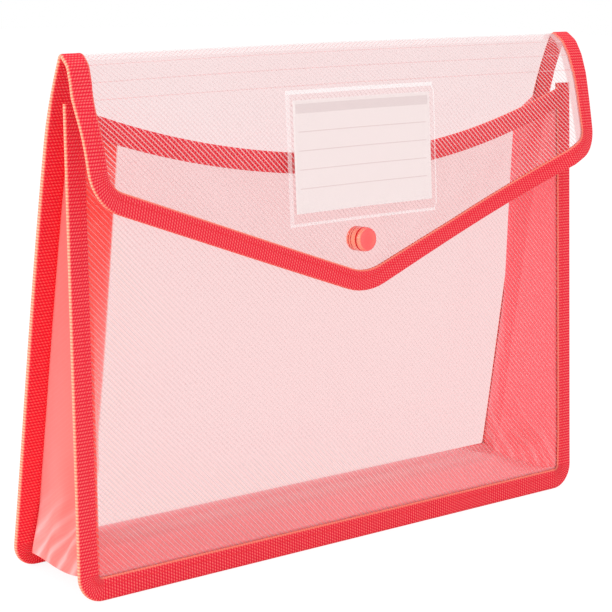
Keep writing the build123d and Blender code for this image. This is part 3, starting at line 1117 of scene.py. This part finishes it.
left_weld_end = -pocket_half_width + weld_widths[1]
top_weld_end = weld_widths[0]
bottom_weld_end = pocket_height - weld_widths[2]
film_columns = [
    -pocket_half_width,
    *spread(left_weld_end, left_weld_end + film_rise_run, film_fine_step),
    *spread(-pocket_half_width + 0.007, pocket_half_width, film_step),
]
film_rows = [
    0,
    *spread(top_weld_end, top_weld_end + film_rise_run, film_fine_step),
    *spread(top_weld_end + 0.005, bottom_weld_end - 0.005, film_step),
    *spread(bottom_weld_end - film_rise_run, bottom_weld_end, film_fine_step),
    pocket_height,
]
film_rings = []
for x in film_columns:
    spots = [flap_start + pocket_top + row for row in film_rows]
    outer = [(pocket_place(x, spot, film_thickness / 2), (x, spot)) for spot in spots]
    inner = [(pocket_place(x, spot, -film_thickness / 2), (x, spot)) for spot in spots]
    film_rings.append([*outer, *reversed(inner), outer[0]])
pocket_film = skin("pocket_film", film_rings, film_finish())
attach(pocket_film, "flap")
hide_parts("label_pocket")

# The label card. Thin smooth card, 90 by 55 mm, with a grey band across its top and four ruled lines
# to write on. It lies loose in the pocket.
card_left = -0.0446
card_width = 0.090
card_top = 0.0068
card_height = 0.055
card_thickness = 0.0003
card_clearance = 0.0009
card_standoff = sheet_thickness / 2 + card_clearance + card_thickness / 2
band_middle = 0.0042
band_half_height = 0.0023
band_inset = 0.0015
first_rule = 0.0154
rule_pitch = 0.0092
rule_half_width = 0.00022
rule_inset = 0.003


def card_finish():
    """Smooth card, with its bare grey band and four ruled lines printed on."""
    finish, tree, across, along = new_finish("label_card")
    left = across - card_left
    down = along - (flap_start + card_top)
    band = down.math("COMPARE", band_middle, band_half_height)
    band = band * left.math("COMPARE", card_width / 2, card_width / 2 - band_inset)
    line = down.math("COMPARE", first_rule, rule_half_width)
    for number in (1, 2, 3):
        next_rule = down.math("COMPARE", first_rule + rule_pitch * number, rule_half_width)
        line = line.math("MAXIMUM", next_rule)
    line = line * left.math("COMPARE", card_width / 2, card_width / 2 - rule_inset)
    fibre = speckle(tree, 900.0, 4.0)
    colour = (fibre * 0.5).between((0.85, 0.755, 0.745, 1), (0.83, 0.73, 0.72, 1))
    colour = band.between(colour, (0.74, 0.63, 0.625, 1))
    colour = line.between(colour, (0.72, 0.58, 0.575, 1))
    bump = raised(tree, fibre, 0.00002, 0.2)
    body = Value.node(
        tree,
        "ShaderNodeBsdfPrincipled",
        inputs={"Base Color": colour, "Roughness": fibre * 0.1 + 0.5, "Normal": bump},
    )
    set_surface(tree, body)
    return finish


card_rings = []
for x in spread(card_left, card_left + card_width, 0.006):
    spots = spread(flap_start + card_top, flap_start + card_top + card_height, 0.005)
    outer = [(back_place(x, spot, card_standoff + card_thickness / 2), (x, spot)) for spot in spots]
    inner = [(back_place(x, spot, card_standoff - card_thickness / 2), (x, spot)) for spot in spots]
    card_rings.append([*outer, *reversed(inner), outer[0]])
label_card = skin("ruled_card", card_rings, card_finish())
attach(label_card, "label")
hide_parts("label_card")

# The studio. A white floor that shows as white to the camera and keeps a faint shadow, a white
# surround, and two large soft lamps.
scene = bpy.context.scene
scene.view_settings.view_transform = "Standard"
scene.cycles.transparent_max_bounces = 48
scene.cycles.diffuse_bounces = 12


def seen_directly(tree):
    """1 where the camera, a reflection or glass looks at the stage, 0 where the stage lights the case."""
    path = Value.node(tree, "ShaderNodeLightPath", output="Is Camera Ray")
    glossy = Value(tree, path.socket.node.outputs["Is Glossy Ray"])
    through = Value(tree, path.socket.node.outputs["Is Transmission Ray"])
    return path.math("MAXIMUM", glossy).math("MAXIMUM", through)


surround = bpy.data.worlds.new("studio")
surround.use_nodes = True
surround.node_tree.nodes.clear()
tree = surround.node_tree
light = Value.node(tree, "ShaderNodeBackground", inputs={"Color": (1, 1, 1, 1), "Strength": 1.0})
Value.node(tree, "ShaderNodeOutputWorld", inputs={"Surface": light})
scene.world = surround

floor_mesh = bpy.data.meshes.new("floor")
floor_mesh.from_pydata([(-4, -4, 0), (4, -4, 0), (4, 4, 0), (-4, 4, 0)], [], [(0, 1, 2, 3)])
floor = bpy.data.objects.new("floor", floor_mesh)
scene.collection.objects.link(floor)
floor_finish = bpy.data.materials.new("floor")
floor_finish.use_nodes = True
floor_finish.node_tree.nodes.clear()
tree = floor_finish.node_tree
matt = Value.node(tree, "ShaderNodeBsdfDiffuse", inputs={"Color": (0.9, 0.9, 0.9, 1)})
glow = Value.node(tree, "ShaderNodeEmission", inputs={"Color": (1, 1, 1, 1), "Strength": 1.06})
share = seen_directly(tree) * 0.85
set_surface(tree, layered(tree, share, matt, glow))
floor_mesh.materials.append(floor_finish)


def soft_lamp(name, at, size, power, aim=(0, -0.03, 0.12)):
    """A round lamp turned to the middle of the case."""
    lamp = bpy.data.lights.new(name, "AREA")
    lamp.shape = "DISK"
    lamp.size = size
    lamp.energy = power
    holder = bpy.data.objects.new(name, lamp)
    holder.location = at
    holder.rotation_euler = (Vector(aim) - Vector(at)).to_track_quat("-Z", "Y").to_euler()
    scene.collection.objects.link(holder)


soft_lamp("key_lamp", (-1.8, 0.4, 1.0), 1.2, 25)
soft_lamp("top_lamp", (0.3, -0.7, 2.0), 1.6, 6)

# The camera. It stands at a seated person's height to the left of the case, with a long lens, and is
# held a little askew.
camera_data = bpy.data.cameras.new("camera")
camera = bpy.data.objects.new("camera", camera_data)
scene.collection.objects.link(camera)
scene.camera = camera
camera.location = (-0.5826, -0.7156, 0.3059)
turn, dip, roll = math.radians(-38.896), math.radians(9.475), math.radians(1.627)
back = Vector((math.sin(turn) * math.cos(dip), -math.cos(turn) * math.cos(dip), math.sin(dip)))
level = Vector((math.cos(turn), math.sin(turn), 0))
upright = back.cross(level)
right = level * math.cos(roll) + upright * math.sin(roll)
above = upright * math.cos(roll) - level * math.sin(roll)
camera.rotation_euler = Matrix((right, above, back)).transposed().to_euler()
camera_data.sensor_width = 36
camera_data.lens = 104.385
camera_data.shift_x = 0.0439
camera_data.shift_y = -0.1229
camera_data.clip_start = 0.01
